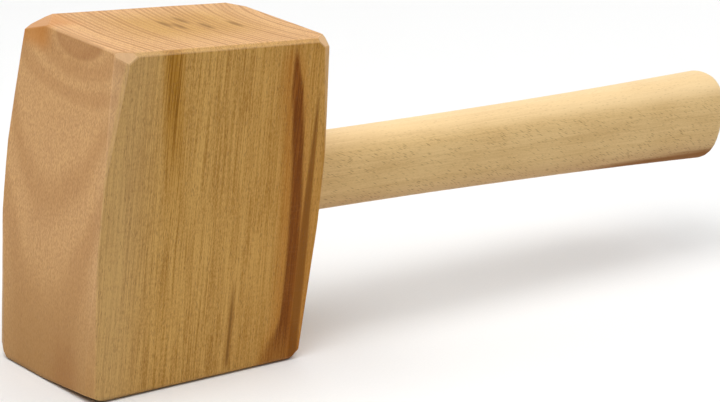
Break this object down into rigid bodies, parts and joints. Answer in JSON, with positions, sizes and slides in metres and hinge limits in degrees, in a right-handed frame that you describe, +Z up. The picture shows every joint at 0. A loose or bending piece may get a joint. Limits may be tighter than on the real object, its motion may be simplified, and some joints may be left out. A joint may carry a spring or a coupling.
{
  "type": "joiner's mallet",
  "caption": "Joiner's mallet: a thick chamfered wooden block with a gently curved crown and two flat, slightly inclined striking faces, on a flat-oval handle that swells towards its end.",
  "frame": {"origin": "middle of the lower striking face, on the head's centre line", "axes": "+Z up through the head's length from the lower striking face, +X along the handle from the head to its end, Y through the head's thickness"},
  "size_m": [0.3929, 0.064, 0.1419],
  "materials": {
    "head_beech": "planed and lightly oiled",
    "handle_beech": "sanded smooth",
    "wedge_wood": "sawn"
  },
  "bodies": {
    "root": {"head": "head_beech", "handle": "handle_beech", "fox_wedge_upper": "wedge_wood", "fox_wedge_lower": "wedge_wood"}
  },
  "joints": []
}
